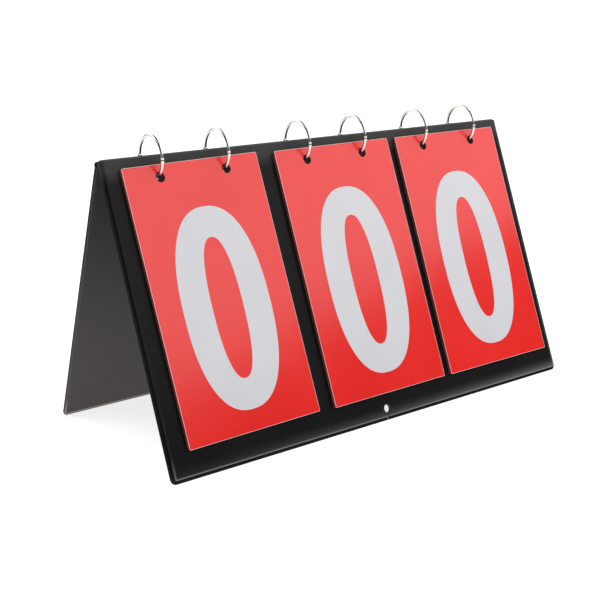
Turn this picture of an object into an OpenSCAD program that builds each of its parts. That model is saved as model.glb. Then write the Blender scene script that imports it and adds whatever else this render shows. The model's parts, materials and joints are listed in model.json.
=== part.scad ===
// Folding flip-card scoring board: two stiff vinyl-covered leaves hinged at a ridge, and
// three stacks of number cards that hang and turn over the ridge on loose-leaf rings.
// X runs across the board, the front face looks to -Y, and Z = 0 is the table.

/* [Leaves] */
// Width of each leaf, flange to flange
leaf_w = 380; // [300:1:480]
// Length of each leaf down its slope, ridge to foot
leaf_l = 220; // [170:1:280]
// Lean of each leaf from upright
lean = 21.5; // [16:0.5:27]
// Thickness of the board inside each leaf
board_t = 2; // [1.5:0.1:3]
// Thickness of the outer vinyl skin
skin_t = 0.5; // [0.4:0.05:0.8]
// Thickness of the flat inner lining
lining_t = 0.5; // [0.4:0.05:0.8]
// Width of the welded flange round the sides and the foot
flange_w = 2.5; // [2:0.1:4]
// Radius of the two lower corners of a leaf
corner_r = 4.5; // [2:0.5:8]
// Gap between the two linings when the board is folded shut
fold_gap = 1; // [0.6:0.1:2]
// Distance from the ridge axis down to the top edge of the rear leaf
rear_head = 3; // [2:0.5:6]
// Thickness of the vinyl hinge strip over the ridge
strip_t = 0.6; // [0.4:0.1:1]

/* [Tie hole] */
// Diameter of the tie hole in the middle of each foot
tie_d = 6.5; // [4:0.1:9]
// Height of the tie hole's centre above the foot edge, along the slope
tie_rise = 8.9; // [7:0.1:16]
// Width of the slit from the tie hole down to the foot edge
slit_w = 0.8; // [0.5:0.1:1.5]

/* [Cards] */
// Bare margin outside the first and last stack of cards
side_margin = 12; // [8:0.5:20]
// Bare strip between neighbouring stacks
stack_gap = 13; // [9:0.5:20]
// Distance from the ridge axis to the head edge of a card
head_inset = 6.2; // [6.2:0.1:8]
// Bare strip between the foot of the cards and the foot of the leaf
foot_margin = 20.5; // [15:0.5:30]
// Thickness of one card
card_t = 0.28; // [0.2:0.01:0.35]
// Air between neighbouring cards
card_air = 0.04; // [0.03:0.01:0.06]
// Corner radius of a card
card_r = 1; // [0.5:0.5:6]
// Diameter of the ring holes in a card
card_hole_d = 7.4; // [7:0.1:8]
// Distance between the two holes of a card
ring_pitch = 54; // [40:1:64]
// How far each stack hangs to the right of its even place, left to right
stack_shift = [1.8, 5, 0.5];
// How far each stack hangs turned in its own plane, in degrees, foot to the right
stack_turn = [0.8, 0.3, 0];

/* [Rings] */
// Mean radius of a ring
ring_r = 15.3; // [14.5:0.1:20]
// Diameter of the ring's wire
wire_d = 2.2; // [1.8:0.1:2.4]
// Diameter of the rivet's shaft in the ring's hinge
rivet_d = 1; // [0.8:0.1:1.2]
// Thickness of the rivet's heads
rivet_head_t = 0.3; // [0.2:0.05:0.4]
// Diameter of the two barrels of the ring's snap
snap_d = 2.7; // [2.5:0.1:2.8]
// Diameter of the ring holes in the leaves
leaf_hole_d = 9; // [8:0.1:11]

/* [Hidden] */
stack_names = ["hundreds", "tens", "units"];
stacks = len(stack_names);
digits = 10;
ring_count = 2 * stacks;

$fn = 96;
over = 1;                  // overshoot of a cutting solid past the face that it cuts
big = 2 * (leaf_w + leaf_l);

// Distances from the leaf's hinge plane, which holds the ridge axis, outwards
lining_n = fold_gap / 2;
board_n = lining_n + lining_t;
skin_n = board_n + board_t;
face_n = skin_n + skin_t;
flange_n = board_n + skin_t;

// Height of the ridge axis: the outer edge of the flange just meets the table
axis_z = leaf_l * cos(lean) - flange_n * sin(lean);

// The board in its pocket
board_air = 0.1;
board_w = leaf_w - 2 * (flange_w + skin_t + board_air);
board_l = leaf_l - flange_w - skin_t - board_air;
board_r = 0.8;

// Hinge strip: a bent band from the front leaf's top corner, over a low crest, down to the
// rear leaf's top corner. Each end stands this far off the leaf that it meets
strip_air = 0.05;
strip_steps = 16;
crest_y = -1.2;
crest_z = 1.5;

// Cards
stack_air = 0.15;
card_w = (leaf_w - 2 * side_margin - (stacks - 1) * stack_gap) / stacks;
card_l = leaf_l - head_inset - foot_margin;
card_pitch = card_t + card_air;
hole_s = ring_r;           // leaf holes lie where the upright ring crosses
card_hole_s = ring_r - 0.1;

// Rings, drawn in their own plane about the ridge axis
wire_r = wire_d / 2;
eye_r = wire_r + 0.2;      // outside radius of the hinge eyes
eye_air = 0.1;             // air round an eye, and between the two eyes
eye_t = 1.15;
rivet_run = 0.05;          // running clearance of the gate's eye on the rivet
rivet_head_r = rivet_d / 2 + 0.4;
snap_l = 2;                // length of each barrel of the snap
peg_d = 1.2;
peg_l = 1;
peg_run = 0.15;

function even_x(i) = (i - (stacks - 1) / 2) * (card_w + stack_gap);
function stack_x(i) = even_x(i) + stack_shift[i];
function ring_x(r) = stack_x(floor((r - 1) / 2)) + ((r - 1) % 2 - 0.5) * ring_pitch;

// A leaf's point at distance s down its slope and n out from the hinge plane, as [y, z]
// from the ridge axis, on the front leaf; the rear leaf's has y the other way
function slope_yz(s, n) = [-s * sin(lean) - n * cos(lean), -s * cos(lean) + n * sin(lean)];
function ring_xs() = [for (r = [1 : ring_count]) ring_x(r)];

// ---- frames -------------------------------------------------------------------------

// A leaf is drawn hanging straight down from the ridge axis with its outside towards -Y
module front_slope() { translate([0, 0, axis_z]) rotate([-lean, 0, 0]) children(); }
module rear_slope() { mirror([0, 1, 0]) front_slope() children(); }

// Cuts off what would reach below the table
module above_table() {
    intersection() {
        children();
        translate([-big / 2, -big / 2, 0]) cube(big);
    }
}

// Plate between two distances from the hinge plane, from an outline whose Y is the slope
module plate(from, to) {
    translate([0, -from, 0]) rotate([90, 0, 0]) linear_extrude(to - from) children();
}

// Drilling through a leaf or a card, x across and s down the slope
module drill(x, s, d) {
    translate([x, over, -s]) rotate([90, 0, 0]) cylinder(d = d, h = big / 4);
}

// ---- leaves -------------------------------------------------------------------------

// Rectangle that hangs below the ridge, with its two lower corners rounded
module hanging_sheet(w, l, r, head = 0) {
    translate([-w / 2, -l + r]) square([w, l - r - head]);
    translate([-w / 2 + r, -l]) square([w - 2 * r, r]);
    for (x = [-1, 1]) translate([x * (w / 2 - r), -l + r]) circle(r);
}

// Ring holes, and the tie hole with its slit to the foot edge
module leaf_holes() {
    for (x = ring_xs()) drill(x, hole_s, leaf_hole_d);
    drill(0, leaf_l - tie_rise, tie_d);
    translate([-slit_w / 2, -big / 4, -leaf_l - over]) cube([slit_w, big / 2, tie_rise + over]);
}

// Outer skin, pressed over the board like a shallow tray and welded flat round its edge
module leaf_cover(head) {
    difference() {
        union() {
            plate(board_n, flange_n) hanging_sheet(leaf_w, leaf_l, corner_r, head);
            plate(board_n, face_n)
                hanging_sheet(leaf_w - 2 * flange_w, leaf_l - flange_w, board_r + skin_t, head);
        }
        plate(board_n - over, skin_n)
            hanging_sheet(board_w + 2 * board_air, board_l + board_air, board_r, head - over);
        leaf_holes();
    }
}

module leaf_board(head) {
    difference() {
        plate(board_n, skin_n) hanging_sheet(board_w, board_l, board_r, head);
        leaf_holes();
    }
}

module leaf_lining(head) {
    difference() {
        plate(lining_n, board_n) hanging_sheet(leaf_w, leaf_l, corner_r, head);
        leaf_holes();
    }
}

module front_cover() { color("#1d1d1f") above_table() front_slope() leaf_cover(0); }
module front_board() { color("#8a8072") above_table() front_slope() leaf_board(0); }
module front_lining() { color("#2a2a2c") above_table() front_slope() leaf_lining(0); }
module rear_cover() { color("#1d1d1f") above_table() rear_slope() leaf_cover(rear_head); }
module rear_board() { color("#8a8072") above_table() rear_slope() leaf_board(rear_head); }
module rear_lining() { color("#2a2a2c") above_table() rear_slope() leaf_lining(rear_head); }

// Half of the strip's middle line: a quarter wave between two heights
function wave(from, to, i) = from + (to - from) * (1 - cos(90 * i / strip_steps));

// Vinyl strip that bridges the two top edges and bends when the board is folded
module hinge_strip() {
    front = slope_yz(-strip_air, face_n);
    rear_front = slope_yz(rear_head - strip_air, face_n);
    rear = [-rear_front[0], rear_front[1]];
    under = concat(
        [for (i = [strip_steps : -1 : 1]) let (y = crest_y + (front[0] - crest_y) * i / strip_steps)
            [y, wave(crest_z, front[1], i)]],
        [for (i = [0 : strip_steps]) let (y = crest_y + (rear[0] - crest_y) * i / strip_steps)
            [y, wave(crest_z, rear[1], i)]]
    );
    top = [for (i = [len(under) - 1 : -1 : 0]) let (
            a = under[max(i - 1, 0)],
            b = under[min(i + 1, len(under) - 1)],
            along = (b - a) / norm(b - a))
        under[i] + strip_t * [-along[1], along[0]]];
    color("#232325")
        translate([-leaf_w / 2, 0, axis_z]) rotate([90, 0, 90]) linear_extrude(leaf_w)
            polygon(concat(under, top));
}

// ---- cards --------------------------------------------------------------------------

module card_outline() {
    translate([-card_w / 2, -card_l + card_r]) square([card_w, card_l - 2 * card_r]);
    translate([-card_w / 2 + card_r, -card_l]) square([card_w - 2 * card_r, card_l]);
    for (x = [-1, 1]) for (s = [card_r, card_l - card_r])
        translate([x * (card_w / 2 - card_r), -s]) circle(card_r);
}

// Turns what hangs in stack i about the middle between the stack's two rings
module hung(i) {
    translate([stack_x(i), 0, -card_hole_s]) rotate([0, -stack_turn[i], 0])
        translate([0, 0, card_hole_s]) children();
}

// Card with digit d of stack i: 0 lies outermost, the last digit lies on the leaf
module card(i, d) {
    back_n = face_n + stack_air + (digits - 1 - d) * card_pitch;
    color("#e2342c") front_slope() hung(i) difference() {
        plate(back_n, back_n + card_t) translate([0, -head_inset]) card_outline();
        for (side = [-0.5, 0.5]) drill(side * ring_pitch, card_hole_s, card_hole_d);
    }
}

// ---- rings --------------------------------------------------------------------------

// Places a ring: drawn in the plane across its wire, rear to +X, up to +Y
module at_ring(r) { translate([ring_x(r), 0, axis_z]) rotate([90, 0, 90]) children(); }

module half_wire(from) {
    rotate([0, 0, from]) rotate_extrude(angle = 180, $fn = 72)
        translate([ring_r, 0]) circle(wire_r, $fn = 24);
}

// One half of the ring's hinge: the wire is halved beside the other eye and ends in an eye.
// side is 1 for the half towards +Z of the ring's own plane, and -1 for the other
module hinge_end(side, bore) {
    difference() {
        union() {
            difference() {
                children();
                translate([ring_r, 0, side > 0 ? -over - wire_r : -eye_air / 2])
                    cylinder(r = eye_r + eye_air, h = over + wire_r + eye_air / 2);
            }
            translate([ring_r, 0, side > 0 ? eye_air / 2 : -eye_air / 2 - eye_t])
                cylinder(r = eye_r, h = eye_t);
        }
        translate([ring_r, 0, -over - eye_t]) cylinder(d = bore, h = 2 * (over + eye_t), $fn = 32);
    }
}

// Snap barrel on the far side of the ring, along the wire and away from the parting line
module snap_barrel(way) {
    translate([-ring_r, 0, 0]) rotate([-90 * way, 0, 0]) cylinder(d = snap_d, h = snap_l, $fn = 32);
}

// Lower half of the ring, through the cards and both leaves, with the socket of the snap
module ring_hoop(r) {
    color("#c9c9c6") at_ring(r) hinge_end(1, rivet_d) difference() {
        union() {
            half_wire(180);
            snap_barrel(-1);
        }
        translate([-ring_r, 0, 0]) rotate([-90, 0, 0])
            translate([0, 0, -peg_l - 0.2])
                cylinder(d = peg_d + 2 * peg_run, h = peg_l + 0.2 + over, $fn = 32);
    }
}

// Upper half, which swings open on the rivet, with the peg of the snap
module ring_gate(r) {
    color("#d4d4d1") at_ring(r) {
        hinge_end(-1, rivet_d + 2 * rivet_run) difference() {
            union() {
                half_wire(0);
                snap_barrel(1);
            }
            translate([-ring_r - snap_d, -over, -snap_d]) cube([2 * snap_d, over + eye_air, 2 * snap_d]);
        }
        translate([-ring_r, 0, 0]) rotate([90, 0, 0]) translate([0, 0, -over])
            cylinder(d = peg_d, h = peg_l + over, $fn = 32);
    }
}

module ring_rivet(r) {
    reach = eye_air / 2 + eye_t;
    color("#b4b4b0") at_ring(r) translate([ring_r, 0, 0]) {
        translate([0, 0, -reach - eye_air / 2]) cylinder(d = rivet_d, h = 2 * reach + eye_air, $fn = 32);
        translate([0, 0, reach]) cylinder(r = rivet_head_r, h = rivet_head_t, $fn = 32);
        translate([0, 0, -reach - eye_air / 2 - rivet_head_t])
            cylinder(r = rivet_head_r, h = rivet_head_t, $fn = 32);
    }
}

front_cover();
front_board();
front_lining();
rear_cover();
rear_board();
rear_lining();
hinge_strip();
for (i = [0 : stacks - 1]) for (d = [0 : digits - 1])
    card(i, d);
for (r = [1 : ring_count]) {
    ring_hoop(r);
    ring_gate(r);
    ring_rivet(r);
}
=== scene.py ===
# %% [markdown]
# # A folding flip-card scoring board
#
# Two stiff vinyl leaves stand in an inverted V, and three stacks of red number cards hang over
# the front one on loose-leaf rings. The frame that we load holds every solid of the design at
# its real size, in metres, with a body for each thing that moves. We add what a frame can't
# have: finishes, the pressed shape of the skins, the printed numerals and the light.

# %% Load the frame
import json
import math

import bmesh
import bpy
from mathutils import Matrix, Vector
from mathutils.geometry import delaunay_2d_cdt

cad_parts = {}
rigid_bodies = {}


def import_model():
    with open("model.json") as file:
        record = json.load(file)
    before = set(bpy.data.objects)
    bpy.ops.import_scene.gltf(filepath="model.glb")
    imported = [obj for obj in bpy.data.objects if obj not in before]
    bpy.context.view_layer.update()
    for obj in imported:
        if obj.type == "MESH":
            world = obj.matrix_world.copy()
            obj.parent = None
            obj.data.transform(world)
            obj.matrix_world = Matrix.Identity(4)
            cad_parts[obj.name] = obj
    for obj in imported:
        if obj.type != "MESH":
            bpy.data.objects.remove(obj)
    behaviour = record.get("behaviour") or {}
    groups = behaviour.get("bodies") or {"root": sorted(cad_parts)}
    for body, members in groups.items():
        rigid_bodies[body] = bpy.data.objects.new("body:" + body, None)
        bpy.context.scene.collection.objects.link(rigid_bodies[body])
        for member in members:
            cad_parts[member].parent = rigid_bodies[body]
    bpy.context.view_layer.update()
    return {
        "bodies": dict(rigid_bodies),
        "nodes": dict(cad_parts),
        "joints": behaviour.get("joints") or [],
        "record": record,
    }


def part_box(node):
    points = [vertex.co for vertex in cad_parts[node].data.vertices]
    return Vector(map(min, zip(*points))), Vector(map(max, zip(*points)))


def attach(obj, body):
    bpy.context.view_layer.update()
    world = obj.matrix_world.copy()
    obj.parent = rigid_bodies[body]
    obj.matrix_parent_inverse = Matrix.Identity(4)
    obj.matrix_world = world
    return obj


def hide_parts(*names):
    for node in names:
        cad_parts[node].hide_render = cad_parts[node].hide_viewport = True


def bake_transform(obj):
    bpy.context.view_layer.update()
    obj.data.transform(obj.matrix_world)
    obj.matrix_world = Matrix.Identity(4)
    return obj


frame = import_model()
joints = {joint["name"]: joint for joint in frame["joints"]}
mounts = {mount["name"]: mount for mount in frame["record"]["mounts"]}
mm = 0.001

# %% [markdown]
# ## Measuring the leaves
#
# Everything on this board lies on one of two slopes. It is easiest to think on a slope: x runs
# across, "down" runs from the ridge to the foot, and "out" points away from the space between
# the leaves. The fold joint tells us where the ridge is, and the tie hole's own axis is the
# front leaf's "out". The rear leaf is the same with Y turned round.

# %% Directions on a slope
ridge = Vector(joints["fold"]["pos_m"])
tie_hole = mounts["front_tie_hole"]
out = Vector(tie_hole["axis"])
down = Vector((0, -out.z, out.y))


def on_slope(x, s, n, rear=False):
    """The point x across, s down the slope and n out, on the front or the rear leaf."""
    point = Vector((x, 0, ridge.z)) + down * s + out * n
    return Vector((point.x, -point.y, point.z)) if rear else point


def spread(node, way):
    """How far a node of the frame reaches along a direction, measured from the ridge."""
    along = [(v.co - ridge).dot(way) for v in frame["nodes"][node].data.vertices]
    return min(along), max(along)


rear_out, rear_down = [Vector((v.x, -v.y, v.z)) for v in (out, down)]
leaf_w = 2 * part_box("front_cover")[1].x
leaf_l = spread("front_cover", down)[1]
rear_head = spread("rear_cover", rear_down)[0]
base_n, face_n = spread("front_cover", out)
print(f"leaf {leaf_w:.3f} x {leaf_l:.3f} m, skin from {base_n:.4f} to {face_n:.4f} m out")

# %% [markdown]
# ## Camera, floor and light
#
# The board is meant to be read from its left front, a little above the numbers. The floor is a
# plain pale sheet. It glows a little by itself, which keeps the shadow under the tent soft,
# as a light table does in a product studio.
#
# Glossy cards show what is in front of them, so the big soft box stands where the cards reflect
# it into the camera. We see its lower edge as a soft line that runs down across the red. The sky
# lights the matt surfaces from all round, but reflections see it dim, so that the black vinyl
# stays black and the rings have dark lines in them.


# %% Camera
def aim(place, heading, rise, roll=0.0):
    """A matrix at place that looks heading degrees right of +Y and rise degrees up."""
    turn = Matrix.Rotation(math.radians(-heading), 4, "Z")
    tilt = Matrix.Rotation(math.radians(90 + rise), 4, "X")
    return Matrix.Translation(place) @ turn @ tilt @ Matrix.Rotation(math.radians(roll), 4, "Z")


camera = bpy.data.objects.new("camera", bpy.data.cameras.new("camera"))
bpy.context.scene.collection.objects.link(camera)
bpy.context.scene.camera = camera
camera.data.lens = 66.35
camera.matrix_world = aim((-0.5246, -0.6672, 0.3103), heading=37.04, rise=-15.38, roll=-0.6)
bpy.context.scene.view_settings.view_transform = "Standard"
print("camera at", [round(v, 3) for v in camera.location])


# %% Small helpers for node trees
def add_node(tree, kind, **settings):
    """Adds a node, with its settings and the constants of its sockets."""
    node = tree.nodes.new(kind)
    for name, value in settings.items():
        if hasattr(node, name) and name not in node.inputs:
            setattr(node, name, value)
        else:
            node.inputs[name.replace("_", " ")].default_value = value
    return node


def join(tree, start, end):
    tree.links.new(start, end)


def fresh_tree(holder):
    holder.use_nodes = True
    holder.node_tree.nodes.clear()
    return holder.node_tree


# %% Floor
floor_size = 40.0
floor_mesh = bpy.data.meshes.new("floor")
corners = [(x * floor_size, y * floor_size, 0) for x, y in ((-1, -1), (1, -1), (1, 1), (-1, 1))]
floor_mesh.from_pydata(corners, [], [(0, 1, 2, 3)])
floor = bpy.data.objects.new("floor", floor_mesh)
bpy.context.scene.collection.objects.link(floor)
paper = bpy.data.materials.new("pale_floor")
tree = fresh_tree(paper)
sheet = add_node(tree, "ShaderNodeBsdfPrincipled")
sheet.inputs["Base Color"].default_value = (0.5, 0.5, 0.5, 1)
sheet.inputs["Roughness"].default_value = 0.9
sheet.inputs["Specular IOR Level"].default_value = 0.0
sheet.inputs["Emission Color"].default_value = (1, 1, 1, 1)
sheet.inputs["Emission Strength"].default_value = 0.78
join(tree, sheet.outputs[0], add_node(tree, "ShaderNodeOutputMaterial").inputs[0])
floor_mesh.materials.append(paper)
print("floor laid")

# %% Sky and soft boxes
sky_in_reflections = 0.1
sky_on_matt = 0.44  # what a matt surface gets on top of that
sky_in_view = 0.95  # what the camera sees on top of that
world = bpy.data.worlds.new("studio")
bpy.context.scene.world = world
tree = fresh_tree(world)
rays = add_node(tree, "ShaderNodeLightPath")
seen = add_node(tree, "ShaderNodeMath", operation="MULTIPLY_ADD")
seen.inputs[1].default_value = sky_in_view
seen.inputs[2].default_value = sky_in_reflections
lit = add_node(tree, "ShaderNodeMath", operation="MULTIPLY_ADD")
lit.inputs[1].default_value = sky_on_matt
sky = add_node(tree, "ShaderNodeBackground", Color=(1, 1, 1, 1))
join(tree, rays.outputs["Is Camera Ray"], seen.inputs[0])
join(tree, rays.outputs["Is Diffuse Ray"], lit.inputs[0])
join(tree, seen.outputs[0], lit.inputs[2])
join(tree, lit.outputs[0], sky.inputs["Strength"])
join(tree, sky.outputs[0], add_node(tree, "ShaderNodeOutputWorld").inputs[0])


def soft_box(name, heading, rise, distance, width, height, glow, roll=0.0):
    """A rectangular light that faces the board from a heading and a rise, in degrees."""
    light = bpy.data.lights.new(name, "AREA")
    light.shape = "RECTANGLE"
    light.size, light.size_y = width, height
    light.energy = glow * math.pi * width * height
    box = bpy.data.objects.new(name, light)
    bpy.context.scene.collection.objects.link(box)
    middle = Vector((0, 0, ridge.z / 2))
    look = aim((0, 0, 0), heading, -rise, roll)
    box.matrix_world = Matrix.Translation(middle + look.to_3x3() @ Vector((0, 0, distance))) @ look
    return box


soft_box("key_box", heading=-38, rise=36, distance=1.6, width=2.0, height=1.1, glow=2.0)
soft_box("high_box", heading=-75, rise=58, distance=1.7, width=1.2, height=0.8, glow=2.2)
soft_box("side_box", heading=125, rise=45, distance=1.6, width=0.9, height=0.9, glow=1.4)
soft_box("back_box", heading=160, rise=38, distance=1.6, width=2.0, height=1.0, glow=2.2)
print("four soft boxes and a sky")

# %% [markdown]
# ## Effects that several finishes share
#
# Nothing is one even colour when you look closely. Handling leaves faint smears that change the
# gloss, dust settles in specks, and pressed vinyl has a fine grain. Each of these is one node
# group here. A group only gives out values. Each material decides what they do to its own
# colour, roughness and relief.


# %% Group helper
def new_group(name, inputs):
    """A node group with float inputs (name: default) and one float output."""
    group = bpy.data.node_groups.new(name, "ShaderNodeTree")
    for socket, value in inputs.items():
        entry = group.interface.new_socket(socket, in_out="INPUT", socket_type="NodeSocketFloat")
        entry.default_value = value
    group.interface.new_socket("Amount", in_out="OUTPUT", socket_type="NodeSocketFloat")
    ways = add_node(group, "NodeGroupInput"), add_node(group, "NodeGroupOutput")
    return group, *ways


def scaled_noise(tree, scale, detail=2.0, roughness=0.5):
    """Noise over the object's own coordinates, at a scale that a socket gives."""
    place = add_node(tree, "ShaderNodeTexCoord")
    noise = add_node(tree, "ShaderNodeTexNoise", Detail=detail, Roughness=roughness)
    join(tree, place.outputs["Object"], noise.inputs["Vector"])
    join(tree, scale, noise.inputs["Scale"])
    return noise.outputs["Fac"]


def remap(tree, value, low, high, to_low=0.0, to_high=1.0):
    node = add_node(tree, "ShaderNodeMapRange", clamp=True)
    sockets = {"From Min": low, "From Max": high, "To Min": to_low, "To Max": to_high}
    for socket, number in sockets.items():
        node.inputs[socket].default_value = number
    join(tree, value, node.inputs["Value"])
    return node.outputs["Result"]


# %% Group: smears
smears, given, made = new_group("smears", {"Scale": 30.0, "Fine Scale": 260.0})
broad = scaled_noise(smears, given.outputs["Scale"], detail=3.0)
fine = scaled_noise(smears, given.outputs["Fine Scale"], detail=4.0, roughness=0.65)
mixed = add_node(smears, "ShaderNodeMath", operation="MULTIPLY_ADD")
mixed.inputs[1].default_value = 0.35
join(smears, fine, mixed.inputs[0])
join(smears, remap(smears, broad, 0.3, 0.7, 0.0, 0.65), mixed.inputs[2])
join(smears, mixed.outputs[0], made.inputs["Amount"])
print("group", smears.name)

# %% Group: dust
dust, given, made = new_group("dust", {"Scale": 900.0, "Level": 0.72})
specks = scaled_noise(dust, given.outputs["Scale"], detail=1.0)
over = add_node(dust, "ShaderNodeMath", operation="SUBTRACT")
join(dust, specks, over.inputs[0])
join(dust, given.outputs["Level"], over.inputs[1])
join(dust, remap(dust, over.outputs[0], 0.0, 0.06), made.inputs["Amount"])
print("group", dust.name)

# %% Group: pressed grain
grain, given, made = new_group("pressed_grain", {"Scale": 1500.0, "Wave Scale": 14.0, "Wave": 0.5})
place = add_node(grain, "ShaderNodeTexCoord")
cells = add_node(grain, "ShaderNodeTexVoronoi", feature="SMOOTH_F1", Smoothness=0.6)
join(grain, place.outputs["Object"], cells.inputs["Vector"])
join(grain, given.outputs["Scale"], cells.inputs["Scale"])
waves = scaled_noise(grain, given.outputs["Wave Scale"], detail=1.0)
lift = add_node(grain, "ShaderNodeMath", operation="MULTIPLY_ADD")
join(grain, waves, lift.inputs[0])
join(grain, given.outputs["Wave"], lift.inputs[1])
join(grain, remap(grain, cells.outputs["Distance"], 0.0, 0.8, 0.0, 0.02), lift.inputs[2])
join(grain, lift.outputs[0], made.inputs["Amount"])
print("group", grain.name)


# %% Material helper
def finish_of(name, **sockets):
    """The frame's own material of that name, with a new tree round one Principled BSDF."""
    material = bpy.data.materials.get(name) or bpy.data.materials.new(name)
    tree = fresh_tree(material)
    body = add_node(tree, "ShaderNodeBsdfPrincipled")
    for socket, value in sockets.items():
        body.inputs[socket.replace("_", " ")].default_value = value
    join(tree, body.outputs[0], add_node(tree, "ShaderNodeOutputMaterial").inputs[0])
    return material, tree, body


def effect(tree, group, **sockets):
    """Places a group with its own values, and gives its output."""
    node = add_node(tree, "ShaderNodeGroup")
    node.node_tree = group
    for socket, value in sockets.items():
        node.inputs[socket.replace("_", " ")].default_value = value
    return node.outputs["Amount"]


def blend_colours(tree, amount, low, high):
    """Mixes from low to high, each a colour or the output of another mix."""
    mix = add_node(tree, "ShaderNodeMix", data_type="RGBA")
    join(tree, amount, mix.inputs["Factor"])
    for socket, colour in ((mix.inputs[6], low), (mix.inputs[7], high)):
        if isinstance(colour, tuple):
            socket.default_value = (*colour, 1)
        else:
            join(tree, colour, socket)
    return mix.outputs[2]


def relief(tree, body, height, depth, strength=1.0):
    bump = add_node(tree, "ShaderNodeBump", Strength=strength, Distance=depth)
    join(tree, height, bump.inputs["Height"])
    join(tree, bump.outputs[0], body.inputs["Normal"])


def along(tree, coordinates, way):
    """How far the object's own coordinates, or its own normal, reach along a direction."""
    place = add_node(tree, "ShaderNodeTexCoord")
    dot = add_node(tree, "ShaderNodeVectorMath", operation="DOT_PRODUCT")
    dot.inputs[1].default_value = way
    join(tree, place.outputs[coordinates], dot.inputs[0])
    return dot.outputs["Value"]


def combine(tree, operation, a, b):
    node = add_node(tree, "ShaderNodeMath", operation=operation)
    join(tree, a, node.inputs[0])
    join(tree, b, node.inputs[1])
    return node.outputs[0]


# %% [markdown]
# ## Black vinyl
#
# The skin is calendered PVC: black, half glossy, with a fine grain and slow waves where it lies
# over the board. Where it turns over the board's edge it is stretched and shinier, and a painted
# highlight makes it paler there, strongest along the foot and weaker up the left side than the
# right. The skins that we build below carry that highlight as a value on their points. The faces
# also get a painted sheen just below the ridge and near the foot, most at the right, where they
# catch the light. That we read from the height and x of a point.

# %% Finish: black vinyl
# Where the painted sheen lies on the face: above the foot, stronger to the right, and just below the
# ridge
foot_sheen_top, foot_sheen_full = 12 * mm, 3 * mm
flange_top = 2.3 * mm  # below this lies the flange, which gets no painted sheen
ridge_sheen_low, ridge_sheen_full = 190 * mm, 199 * mm
black_vinyl, tree, body = finish_of("black_vinyl", Specular_IOR_Level=0.09, Coat_Roughness=0.2)
marks = effect(tree, smears, Scale=16.0, Fine_Scale=140.0)
painted_sheen = add_node(tree, "ShaderNodeAttribute", attribute_name="painted_sheen")
deep = blend_colours(tree, marks, (0.0035, 0.0035, 0.0038), (0.0065, 0.0062, 0.0064))
height = along(tree, "Object", (0, 0, 1))
by_foot = remap(tree, height, foot_sheen_top, foot_sheen_full)
by_foot = combine(tree, "MULTIPLY", by_foot, by_foot)
by_foot = combine(tree, "MULTIPLY", by_foot, remap(tree, height, flange_top, flange_top + 0.9 * mm))
by_right = remap(tree, along(tree, "Object", (1, 0, 0)), -0.2, 0.19, 0.05, 0.75)
foot_sheen = combine(tree, "MULTIPLY", by_foot, by_right)
ridge_sheen = remap(tree, height, ridge_sheen_low, ridge_sheen_full, 0.0, 0.2)
# The paler colour is painted sheen near the foot and below the ridge, and painted highlight on the
# pressed edge
sheen_mask = combine(tree, "MAXIMUM", combine(tree, "MAXIMUM", foot_sheen, ridge_sheen), painted_sheen.outputs["Fac"])
with_sheen = blend_colours(tree, sheen_mask, deep, (0.15, 0.147, 0.143))
dusty = blend_colours(tree, effect(tree, dust, Scale=1400.0, Level=0.74), with_sheen, (0.07, 0.07, 0.07))
join(tree, dusty, body.inputs["Base Color"])
join(tree, remap(tree, marks, 0.0, 1.0, 0.3, 0.42), body.inputs["Roughness"])
join(tree, painted_sheen.outputs["Fac"], body.inputs["Coat Weight"])
relief(tree, body, effect(tree, grain, Scale=1300.0, Wave_Scale=22.0, Wave=0.5), 0.0012)
print(black_vinyl.name)

# %% [markdown]
# ## Inner lining, board and print
#
# The lining is the same vinyl, but matt and a little browner, because it was never polished. Its
# colour is painted darker towards the ridge, a painted shade inside the tent, and is palest towards
# the foot. The board is raw greyboard with short fibres, and only its cut edge shows in the holes;
# its colour is made much darker than greyboard, a painted shade so that the holes read dark.
#
# The cards are red plastic sheet, printed and varnished. Their cut edges have no varnish, so a
# mask finds every face that doesn't look along the card's own normal. The cut edges are painted
# dark red, a painted shade for where they lie between the cards of a stack, and the first card's
# edge is painted pale, a painted highlight where the light falls on it.

# %% Finish: lining vinyl
lining_vinyl, tree, body = finish_of("lining_vinyl", Specular_IOR_Level=0.5)
marks = effect(tree, smears, Scale=9.0, Fine_Scale=90.0)
shaded = blend_colours(tree, marks, (0.012, 0.0105, 0.0095), (0.018, 0.0155, 0.0135))
unshaded = blend_colours(tree, marks, (0.033, 0.0275, 0.0235), (0.044, 0.037, 0.0315))
# Painted shade: darker towards the ridge, inside the tent, and palest towards the foot
shade_by_height = remap(tree, along(tree, "Object", (0, 0, 1)), 0.19, 0.06)
deep = blend_colours(tree, shade_by_height, shaded, unshaded)
# The pale line along the lining's groove is a painted highlight
painted_sheen = add_node(tree, "ShaderNodeAttribute", attribute_name="painted_sheen")
with_sheen = blend_colours(tree, painted_sheen.outputs["Fac"], deep, (0.32, 0.30, 0.28))
dusty = blend_colours(tree, effect(tree, dust, Scale=1100.0, Level=0.72), with_sheen, (0.09, 0.085, 0.08))
join(tree, dusty, body.inputs["Base Color"])
join(tree, remap(tree, marks, 0.0, 1.0, 0.42, 0.56), body.inputs["Roughness"])
relief(tree, body, effect(tree, grain, Scale=1100.0, Wave_Scale=12.0, Wave=0.8), 0.0012)
print(lining_vinyl.name)

# %% Finish: grey board
grey_board, tree, body = finish_of("grey_board", Roughness=0.9)
fibres = effect(tree, smears, Scale=220.0, Fine_Scale=2400.0)
# Much darker than greyboard: a painted shade so that the ring holes read dark
darkened_board = blend_colours(tree, fibres, (0.05, 0.047, 0.042), (0.10, 0.095, 0.085))
join(tree, darkened_board, body.inputs["Base Color"])
relief(tree, body, fibres, 0.0001)
print(grey_board.name)


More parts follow.
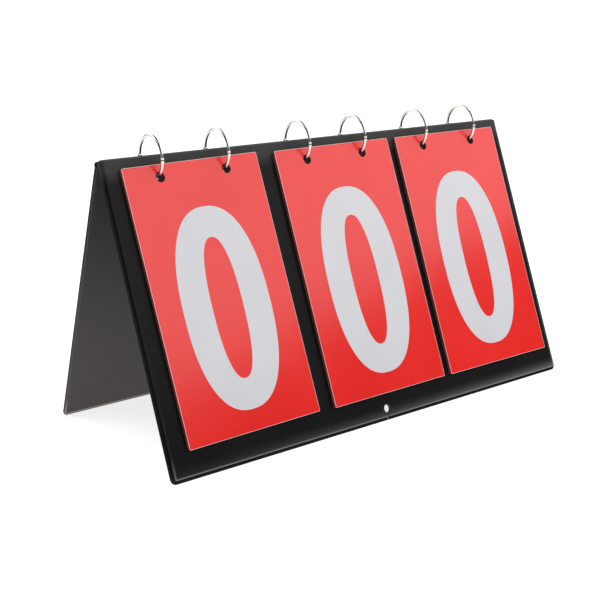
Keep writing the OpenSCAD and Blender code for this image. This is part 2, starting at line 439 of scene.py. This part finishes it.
# %% Finish: red card
def facing(tree, normal):
    """1 where a face looks along the normal or against it, and 0 on the cut edges."""
    size = add_node(tree, "ShaderNodeMath", operation="ABSOLUTE")
    join(tree, along(tree, "Normal", normal), size.inputs[0])
    return remap(tree, size.outputs[0], 0.8, 0.98)


card_red, tree, body = finish_of("card_red", Specular_IOR_Level=0.5)
marks = effect(tree, smears, Scale=12.0, Fine_Scale=120.0)
face = facing(tree, out)
red = blend_colours(tree, marks, (0.63, 0.0138, 0.0112), (0.70, 0.019, 0.0152))
first_n = ridge.dot(out) + spread("units_card_0", out)[0]
# Cut edges: dark red as painted shade between the cards, pale pink on the first card as painted
# highlight
outer = remap(tree, along(tree, "Object", out), first_n - 0.3 * mm, first_n)
cut = blend_colours(tree, outer, (0.14, 0.006, 0.006), (0.95, 0.55, 0.54))
dusty = blend_colours(tree, effect(tree, dust, Scale=900.0, Level=0.79), red, (0.75, 0.2, 0.19))
join(tree, blend_colours(tree, face, cut, dusty), body.inputs["Base Color"])
gloss = remap(tree, marks, 0.0, 1.0, 0.13, 0.19)
rough = add_node(tree, "ShaderNodeMix", data_type="FLOAT")
rough.inputs[2].default_value = 0.65
join(tree, face, rough.inputs["Factor"])
join(tree, gloss, rough.inputs[3])
join(tree, rough.outputs[0], body.inputs["Roughness"])
relief(tree, body, effect(tree, grain, Scale=2600.0, Wave_Scale=9.0, Wave=0.4), 0.0004)
print(card_red.name)

# %% Finish: white print
numeral_white, tree, body = finish_of("numeral_white", Specular_IOR_Level=0.5)
marks = effect(tree, smears, Scale=14.0, Fine_Scale=300.0)
white = blend_colours(tree, marks, (0.50, 0.50, 0.53), (0.56, 0.56, 0.585))
join(tree, white, body.inputs["Base Color"])
join(tree, remap(tree, marks, 0.0, 1.0, 0.26, 0.36), body.inputs["Roughness"])
relief(tree, body, effect(tree, grain, Scale=2600.0, Wave_Scale=9.0, Wave=0.4), 0.0004)
print(numeral_white.name)

# %% [markdown]
# ## Metal
#
# The rings are steel wire with bright nickel on it, slightly yellow. Plating shows fine drawing
# lines and a few dull spots. The rivets are plain steel, headed cold, and stay satin.


# %% Finish: nickel and steel
def metal(name, dark, light, smooth, rough):
    material, tree, body = finish_of(name, Metallic=1.0)
    marks = effect(tree, smears, Scale=120.0, Fine_Scale=1500.0)
    join(tree, blend_colours(tree, marks, dark, light), body.inputs["Base Color"])
    join(tree, remap(tree, marks, 0.1, 0.9, smooth, rough), body.inputs["Roughness"])
    relief(tree, body, marks, 0.00002)
    return material


ring_nickel = metal("ring_nickel", (0.60, 0.58, 0.54), (0.78, 0.76, 0.72), 0.08, 0.2)
rivet_steel = metal("rivet_steel", (0.42, 0.41, 0.40), (0.58, 0.57, 0.55), 0.3, 0.45)
print(ring_nickel.name, rivet_steel.name)

# %% [markdown]
# ## Giving the frame's own solids their finish
#
# The boards, cards and rings already have the right shape, so they stay. A machine-cut
# solid has knife edges, which never catch the light. Three modifiers mend that without touching
# the mesh itself: Weld joins the split points, Bevel rounds the edges by a few hundredths of a
# millimetre, and Weighted Normal keeps the broad faces flat.


# %% Dress the solids
cut_edge = 0.05 * mm
handled_edge = 0.12 * mm
wire_edge = 0.08 * mm
board_edge = 0.1 * mm


def dress(node, material, edge, angle=40):
    """Gives a node of the frame its finish and rounds its edges by edge metres."""
    piece = frame["nodes"][node]
    piece.data.materials.clear()
    piece.data.materials.append(material)
    piece.modifiers.new("weld", "WELD").merge_threshold = 1e-6
    bevel = piece.modifiers.new("rounded", "BEVEL")
    bevel.width = edge
    bevel.segments = 2
    bevel.limit_method = "ANGLE"
    bevel.angle_limit = math.radians(angle)
    piece.modifiers.new("flat_faces", "WEIGHTED_NORMAL")
    for polygon in piece.data.polygons:
        polygon.use_smooth = True
    return piece


for leaf in ("front", "rear"):
    dress(f"{leaf}_board", grey_board, board_edge)

stacks = {"hundreds": [], "tens": [], "units": []}
for stack in stacks:
    stacks[stack] = [f"{stack}_card_{digit}" for digit in range(10)]
    for card in stacks[stack]:
        dress(card, card_red, handled_edge if card.endswith("_0") else cut_edge)

rings = [name for name in frame["bodies"] if name.startswith("ring_")]
for ring in rings:
    dress(f"{ring}_hoop", ring_nickel, wire_edge)
    dress(f"{ring}_gate", ring_nickel, wire_edge)
    dress(f"{ring}_rivet", rivet_steel, wire_edge)
print(len(rings), "rings and", sum(map(len, stacks.values())), "cards dressed")

# %% [markdown]
# ## The pressed skins
#
# The skin of a leaf is one sheet. Round the sides and the foot it is welded flat to the lining,
# and inside that weld it climbs over the board's edge on to the face. In the frame that climb is
# a square step. On the real thing it is a soft S with a narrow groove where the welding bar
# pressed, and that S, with a painted highlight on it, gives the long bright line near the foot.
#
# We draw it as a set of loops. Each loop follows the leaf's outline, a little further in and a
# little higher than the last one. The foot has a slit up to the tie hole, so a loop is made in
# two halves, from the slit round to the ridge. The face is then filled in one go, with the tie
# hole and the ring holes left open, and Solidify gives the sheet its thickness.
#
# The lining is the other half of the weld. It is flat, with the same groove, and looks inwards,
# so the same builder makes it from a shorter list of loops with its heights the other way.

# %% Sizes of a skin
skin_t = 0.5 * mm
inside_t = 0.34 * mm
flange_w = 2.5 * mm
corner_r = 4.5 * mm
board_corner_r = 1.3 * mm
slit_w = 0.8 * mm
leaf_hole_r = 4.5 * mm
hole_steps = 40
ring_r = joints["ring_1_open"]["pos_m"][1]
ring_xs = [joints[f"{ring}_open"]["pos_m"][0] for ring in rings]
tie_s = (Vector(tie_hole["pos_m"]) - ridge).dot(down)
tie_r = tie_hole["dims"]["r_mm"] * mm
flange_n = base_n + skin_t
# Each loop's distance in from the outline, its height and how much painted highlight it carries
press = [
    (0.0, flange_n - 0.12 * mm, 0.05),
    (0.12 * mm, flange_n, 0.1),
    (0.5 * mm, flange_n, 0.0),
    (1.5 * mm, flange_n, 0.0),
    (1.8 * mm, flange_n - 0.12 * mm, 0.0),
    (2.15 * mm, flange_n - 0.12 * mm, 0.0),
    (2.45 * mm, flange_n + 0.15 * mm, 0.0),
    (2.58 * mm, face_n - 1.1 * mm, 0.1),
    (2.74 * mm, face_n - 0.62 * mm, 0.4),
    (3.0 * mm, face_n - 0.3 * mm, 1.0),
    (3.4 * mm, face_n - 0.1 * mm, 0.5),
    (3.9 * mm, face_n - 0.03 * mm, 0.12),
    (4.6 * mm, face_n, 0.0),
]
side_sheen = (0.1, 0.6)  # the painted highlight is full along the foot, and weaker up the left side than up the right
foot_zone, foot_fade = 12 * mm, 8 * mm
lining_n = spread("front_lining", out)[0]
lining_press = [
    (0.0, lining_n + 0.12 * mm, 0.0),
    (0.12 * mm, lining_n, 0.1),
    (0.5 * mm, lining_n, 0.0),
    (0.9 * mm, lining_n, 0.0),
    (1.1 * mm, lining_n + 0.15 * mm, 0.8),
    (1.5 * mm, lining_n + 0.15 * mm, 1.0),
    (1.8 * mm, lining_n, 1.0),
    (2.2 * mm, lining_n, 0.1),
    (3.2 * mm, lining_n, 0.0),
]

# The same for the rim of a ring hole, with how much wider and deeper each circle is, and how much
# painted highlight it carries
hole_rim = [
    (0.5 * mm, 0.0, 0.0),
    (0.2 * mm, 0.0, 0.2),
    (0.05 * mm, 0.06 * mm, 0.6),
    (0.0, 0.2 * mm, 0.6),
]
print("the skin climbs", round((face_n - flange_n) / mm, 2), "mm from its flange")


# %% Outline of a leaf
def arc(centre, radius, start, end, steps):
    """Points on a circle from start to end, in degrees, as (x, s)."""
    turns = [math.radians(start + (end - start) * i / steps) for i in range(steps + 1)]
    return [(centre[0] + radius * math.cos(t), centre[1] + radius * math.sin(t)) for t in turns]


def half_outline(inset, head):
    """From the slit along the foot, round the corner and up the side, for the half with x > 0."""
    share = min(inset / flange_w, 1)
    radius = corner_r + (board_corner_r - corner_r) * share - max(inset - flange_w, 0) * 0.45
    foot, side = leaf_l - inset, leaf_w / 2 - inset
    start, turn = slit_w / 2, side - radius
    along_foot = [(start + (turn - start) * i / 24, foot) for i in range(24)]
    corner = arc((turn, foot - radius), radius, 90, 0, 10)
    rise = foot - radius - head
    up_side = [(side, foot - radius - rise * i / 16) for i in range(1, 17)]
    return along_foot + corner + up_side


print("outline has", len(half_outline(0, 0)), "points a side")


# %% Build a sheet of a leaf
def leaf_sheet(name, loops, head, rear, material, thickness, looks=1):
    """A pressed sheet from its loops. looks is 1 if it faces out, and -1 if it faces in."""
    bm = bmesh.new()
    painted_sheen = bm.verts.layers.float.new("painted_sheen")
    facing_way = looks * (rear_out if rear else out)
    flat_n = loops[-1][1]
    lowest = max(looks, 0) * thickness * out.z  # the foot is cut level where it stands

    def point(x, s, n, with_sheen=0.0):
        spot = on_slope(x, s, n, rear)
        vert = bm.verts.new((spot.x, spot.y, max(spot.z, lowest)))
        # painted highlight on the pressed edge: full at the foot, weaker up the sides
        at_foot = min(max((s - leaf_l + foot_zone) / foot_fade, 0), 1)
        vert[painted_sheen] = with_sheen * max(at_foot, side_sheen[x > 0])
        return vert

    inner = {}
    for side in (-1, 1):
        rows = [
            [point(side * x, s, n, with_sheen) for x, s in half_outline(inset, head)]
            for inset, n, with_sheen in loops
        ]
        for low, high in zip(rows, rows[1:]):
            for a, b, c, d in zip(low, low[1:], high[1:], high):
                bm.faces.new((a, b, c, d))
        inner[side] = rows[-1]
    open_angle = math.degrees(math.asin(slit_w / 2 / tie_r))
    tie_arc = arc((0, tie_s), tie_r, 90 - open_angle, -270 + open_angle, hole_steps)
    edge = inner[1][::-1] + [point(x, s, flat_n) for x, s in tie_arc] + inner[-1]
    edges = [bm.edges.get(pair) or bm.edges.new(pair) for pair in zip(edge, edge[1:] + edge[:1])]
    for x in ring_xs:
        rounds = []
        for wider, deeper, with_sheen in hole_rim:
            circle = arc((x, ring_r), leaf_hole_r + wider, 0, 360, hole_steps)[:-1]
            rounds.append([point(*spot, flat_n - looks * deeper, with_sheen) for spot in circle])
        for low, high in zip(rounds, rounds[1:]):
            for i in range(hole_steps):
                bm.faces.new((low[i], low[i - 1], high[i - 1], high[i]))
        edges += [bm.edges.get((rounds[0][i], rounds[0][i - 1])) for i in range(hole_steps)]
    bmesh.ops.triangle_fill(bm, edges=edges, use_beauty=True, normal=facing_way)
    bmesh.ops.recalc_face_normals(bm, faces=bm.faces)
    if sum((f.normal * f.calc_area() for f in bm.faces), Vector()).dot(facing_way) < 0:
        bmesh.ops.reverse_faces(bm, faces=bm.faces)
    mesh = bpy.data.meshes.new(name)
    bm.to_mesh(mesh)
    bm.free()
    mesh.polygons.foreach_set("use_smooth", [True] * len(mesh.polygons))
    mesh.materials.append(material)
    sheet = bpy.data.objects.new(name, mesh)
    bpy.context.scene.collection.objects.link(sheet)
    solid = sheet.modifiers.new("sheet", "SOLIDIFY")
    solid.thickness = thickness
    solid.offset = -1
    sheet.modifiers.new("flat_faces", "WEIGHTED_NORMAL")
    return sheet


for leaf, head in (("front", 0.0), ("rear", rear_head)):
    rear = leaf == "rear"
    skin = leaf_sheet(f"{leaf}_skin", press, head, rear, black_vinyl, skin_t)
    inside = leaf_sheet(f"{leaf}_inside", lining_press, head, rear, lining_vinyl, inside_t, -1)
    for piece, node in ((skin, "cover"), (inside, "lining")):
        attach(piece, f"{leaf}_leaf")
        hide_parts(f"{leaf}_{node}")
        print(piece.name, len(piece.data.polygons), "faces")

# %% [markdown]
# ## The hinge strip
#
# Over the ridge the same vinyl carries on as a strip that bends when the board is folded. Its
# section leaves the front face, turns over a low crest and slopes down to the rear leaf. We give
# the section a few corners, cut them round a few times, and stretch it along the ridge.
# The strip is built where it lies and is not attached to either leaf.

# %% Section of the strip
strip_gap = 0.05 * mm
crest = ridge + Vector((0, -1.2, 2.1)) * mm
slope_mid = ridge + Vector((0, 1.3, 1.75)) * mm
slope_end = ridge + Vector((0, 3.4, 0.0)) * mm


def rounded_path(points, rounds):
    """Cuts the corners of an open path; each round doubles its points."""
    for _ in range(rounds):
        cut = [points[0]]
        for a, b in zip(points, points[1:]):
            cut += [a.lerp(b, 0.25), a.lerp(b, 0.75)]
        points = cut + [points[-1]]
    return points


def pressed_height(inset):
    """Height of the skin at a distance in from the leaf's side."""
    for (d0, n0, _), (d1, n1, _) in zip(press, press[1:]):
        if inset <= d1:
            return n0 + (n1 - n0) * (inset - d0) / (d1 - d0)
    return face_n


def strip_section(x):
    """Outline of the strip at x, which sinks to the weld at each end as the skins do."""
    n = pressed_height(leaf_w / 2 - abs(x))
    sink = (face_n - n) * 0.45
    front = on_slope(0, -strip_gap, n)
    rear = on_slope(0, rear_head - strip_gap, n, rear=True)
    low = Vector((0, 0, sink))
    top = [
        front,
        on_slope(0, -0.5 * mm, n),
        on_slope(0, -0.75 * mm, n - 0.5 * mm),
        crest - low,
        slope_mid - low,
        slope_end - low * 1.5,
        on_slope(0, rear_head - 0.6 * mm, n, rear=True),
        rear,
    ]
    under = [
        on_slope(0, rear_head - strip_gap, n - skin_t, rear=True),
        slope_end - low * 1.5 - Vector((0, 0.35, 0.5)) * mm,
        slope_mid - low - Vector((0, 0.1, 0.55)) * mm,
        crest - low - Vector((0, 0, 0.6)) * mm,
        on_slope(0, -strip_gap, n - skin_t),
    ]
    return [Vector((x, p.y, p.z)) for p in rounded_path(top, 3) + rounded_path(under, 3)]


print("strip section has", len(strip_section(0)), "points")

# %% Build the strip
# A painted highlight along the strip's crest, paler the higher a point lies
crest_rise = 2.1 * mm
crest_sheen = 0.4
spans = 40
bm = bmesh.new()
painted_sheen = bm.verts.layers.float.new("painted_sheen")
half = [leaf_w / 2 - inset for inset, _, _ in press]
middle = half[-1]
across = [middle * (1 - 2 * i / spans) for i in range(1, spans)]
xs = half + across + [-x for x in reversed(half)]
rows = [[bm.verts.new(p) for p in strip_section(x)] for x in reversed(xs)]
for left, right in zip(rows, rows[1:]):
    for i in range(len(left)):
        bm.faces.new((left[i], left[i - 1], right[i - 1], right[i]))
for row in (rows[0], rows[-1]):
    bm.faces.new(row)
bmesh.ops.recalc_face_normals(bm, faces=bm.faces)
for vert in bm.verts:
    vert[painted_sheen] = min(max((vert.co.z - ridge.z) / crest_rise, 0), 1) * crest_sheen
mesh = bpy.data.meshes.new("ridge_strip")
bm.to_mesh(mesh)
bm.free()
mesh.polygons.foreach_set("use_smooth", [True] * len(mesh.polygons))
mesh.set_sharp_from_angle(angle=math.radians(50))
mesh.materials.append(black_vinyl)
strip = bpy.data.objects.new("ridge_strip", mesh)
bpy.context.scene.collection.objects.link(strip)
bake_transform(strip)
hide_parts("hinge_strip")
print(strip.name, len(mesh.polygons), "faces")

# %% [markdown]
# ## The numerals
#
# The digits are printed, so they have hardly any thickness, but they need clean outlines. A bold
# digit is made of a few bands, bars and limbs that overlap. We draw each as its own polygon, in
# millimetres about the digit's middle, and let a constrained triangulation merge them: a
# triangle that lies in any of the polygons belongs to the digit. Each digit is made once and
# used on three cards. It rides on its card, a few microns proud, as ink does.
#
# A pale line runs round each card just inside where it is cut, a painted highlight along the
# card's edge. It is a flat frame of the same thickness as the ink.

# %% Shapes that digits are made of
digit_w, digit_h = 71.3, 144.8
side_stroke, end_stroke = 23.0, 22.0
half_w, half_h = digit_w / 2, digit_h / 2
fullness = 2.35


def oval(centre, rx, ry, start, end, steps):
    """Points on an oval with slightly full shoulders, from start to end in degrees."""
    points = []
    for i in range(steps + 1):
        turn = math.radians(start + (end - start) * i / steps)
        c, s = math.cos(turn), math.sin(turn)
        x = math.copysign(abs(c) ** (2 / fullness), c) * rx
        y = math.copysign(abs(s) ** (2 / fullness), s) * ry
        points.append((centre[0] + x, centre[1] + y))
    return points


def band(x, y, rx, ry, start, end):
    """A stroke along an oval, given by its outer half sizes."""
    steps = max(4, round(abs(end - start) / 4))
    outer = oval((x, y), rx, ry, start, end, steps)
    return outer + oval((x, y), rx - side_stroke, ry - end_stroke, end, start, steps)


def loop(x, y, rx, ry):
    return [band(x, y, rx, ry, 0, 180), band(x, y, rx, ry, 180, 360)]


def bar(left, low, right, high):
    return [(left, low), (right, low), (right, high), (left, high)]


def turned(shapes):
    return [[(-x, -y) for x, y in shape] for shape in shapes]


# %% The ten digits
top_in, low_in = half_h - end_stroke, end_stroke - half_h
waist = end_stroke / 2
lobe = (half_h + waist) / 2
six = [band(0, 0, half_w, half_h, 40, 200), *loop(0, -28.4, half_w, half_h - 28.4)]
digit_shapes = [
    loop(0, 0, half_w, half_h),
    [
        bar(-5, -half_h, 18, half_h),
        [(-5, half_h), (18, half_h), (18, 40), (-5, 34), (-30, 24), (-30, 44)],
    ],
    [
        band(0, half_h - 37, half_w, 37, -27, 184),
        [(33.6, 21), (30, 14), (-7, low_in), (-half_w, low_in), (-half_w, -44), (11.3, 28.6)],
        bar(-half_w, -half_h, half_w, low_in),
    ],
    [
        band(0, half_h - lobe, half_w - 2, lobe, -90, 162),
        band(0, lobe - half_h, half_w, lobe, -162, 90),
        bar(-13, -waist, 0, waist),
    ],
    [
        bar(9, -half_h, 32, half_h),
        bar(-38, -44, 39, -23),
        [(9, half_h), (3, half_h), (-38, -24), (-38, -44), (-14, -44), (-14, -23), (9, 28)],
    ],
    [
        bar(-27, top_in, 32, half_h),
        [(-27, half_h), (-5, half_h), (-8, 4), (-10, -12), (-32, -2)],
        band(0, -27.4, half_w, half_h - 27.4, -162, 150),
    ],
    six,
    [
        bar(-half_w, top_in, half_w, half_h),
        [(half_w, half_h), (half_w, 52), (-3, -half_h), (-28, -half_h), (9, top_in)],
    ],
    [*loop(0, half_h - 40, half_w - 3, 40), *loop(0, 42 - half_h, half_w, 42)],
    turned(six),
]
print(len(digit_shapes), "digits,", digit_w, "x", digit_h, "mm")

# %% Merge the shapes of a digit into one mesh
ink_t = 0.012 * mm


def anticlockwise(shape):
    """The triangulation takes an outline that runs the other way as a hole."""
    pairs = zip(shape, shape[1:] + shape[:1])
    area = sum(x1 * y2 - x2 * y1 for (x1, y1), (x2, y2) in pairs)
    return shape if area > 0 else shape[::-1]


def digit_mesh(digit):
    """The digit's shapes merged into one flat mesh."""
    shapes = [anticlockwise(shape) for shape in digit_shapes[digit]]
    points = [Vector(p) for shape in shapes for p in shape]
    faces, first = [], 0
    for shape in shapes:
        faces.append(list(range(first, first + len(shape))))
        first += len(shape)
    verts, _, triangles, _, _, owners = delaunay_2d_cdt(points, [], faces, 1, 1e-4)
    kept = [triangle for triangle, owner in zip(triangles, owners) if owner]
    used = sorted({i for triangle in kept for i in triangle})
    place = {old: new for new, old in enumerate(used)}
    mesh = bpy.data.meshes.new(f"digit_{digit}")
    spots = [(verts[i].x * mm, verts[i].y * mm, 0) for i in used]
    mesh.from_pydata(spots, [], [[place[i] for i in triangle] for triangle in kept])
    mesh.materials.append(numeral_white)
    return mesh


digit_meshes = [digit_mesh(digit) for digit in range(10)]
print([len(mesh.polygons) for mesh in digit_meshes])


# %% Print the digits on the cards
def hang_turn(card):
    """How far a card hangs turned in its own plane: its longest open edge is its side."""
    mesh = frame["nodes"][card].data
    bm = bmesh.new()
    bm.from_mesh(mesh)
    side = max((e for e in bm.edges if e.is_boundary), key=lambda e: e.calc_length())
    run = side.verts[1].co - side.verts[0].co
    bm.free()
    run *= math.copysign(1, run.dot(down))
    return math.asin(run.normalized().x)


def edge_highlight_mesh(wide, high, radius, width, clear=0.02 * mm):
    """A flat frame just inside the outline of a card, in its own plane: a painted edge highlight."""
    spots = []
    for inset in (clear, width):
        x, y, r = wide / 2 - inset, high / 2 - inset, max(radius - inset, 0.3 * mm)
        for turn, cx, cy in ((0, x, y), (90, -x, y), (180, -x, -y), (270, x, -y)):
            centre = (cx - math.copysign(r, cx), cy - math.copysign(r, cy))
            spots += [(px, py, 0) for px, py in arc(centre, r, turn, turn + 90, 6)]
    count = len(spots) // 2
    faces = [(i, (i + 1) % count, count + (i + 1) % count, count + i) for i in range(count)]
    mesh = bpy.data.meshes.new("card_edge_highlight")
    mesh.from_pydata(spots, [], faces)
    mesh.materials.append(numeral_white)
    return mesh


def lay_on_card(name, mesh, matrix, body):
    """Lays a digit or the painted edge highlight on a card, as thick as ink, so that it moves with
    it.
    """
    piece = bpy.data.objects.new(name, mesh)
    bpy.context.scene.collection.objects.link(piece)
    piece.matrix_world = matrix
    ink = piece.modifiers.new("ink", "SOLIDIFY")
    ink.thickness = ink_t
    ink.offset = 1
    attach(piece, body)


drop = 9.2 * mm  # the digits sit this far below the middle of a card,
shift = 0.6 * mm  # and this far to the right of it
card_corner_r = 1 * mm
edge_highlight_w = 0.24 * mm
edge_highlight = None
for stack, cards in stacks.items():
    turn = hang_turn(cards[0])
    low = down * math.cos(turn) + Vector((math.sin(turn), 0, 0))
    right = Vector((math.cos(turn), 0, 0)) - down * math.sin(turn)
    axes = Matrix((right, -low, out)).transposed().to_4x4()
    for digit, card in enumerate(cards):
        (left_x, right_x), (top_s, foot_s), (_, n) = [spread(card, way) for way in (right, low, out)]
        middle = ridge + right * (left_x + right_x) / 2 + low * (top_s + foot_s) / 2 + out * n
        if not edge_highlight:
            edge_highlight = edge_highlight_mesh(right_x - left_x, foot_s - top_s, card_corner_r, edge_highlight_w)
        printed = Matrix.Translation(middle + low * drop + right * shift) @ axes
        lay_on_card(f"numeral_{stack}_{digit}", digit_meshes[digit], printed, f"{stack}_{digit}")
        edge = Matrix.Translation(middle) @ axes
        lay_on_card(f"trim_{stack}_{digit}", edge_highlight, edge, f"{stack}_{digit}")
    print(stack, "hang turned by", round(math.degrees(turn), 2), "degrees")
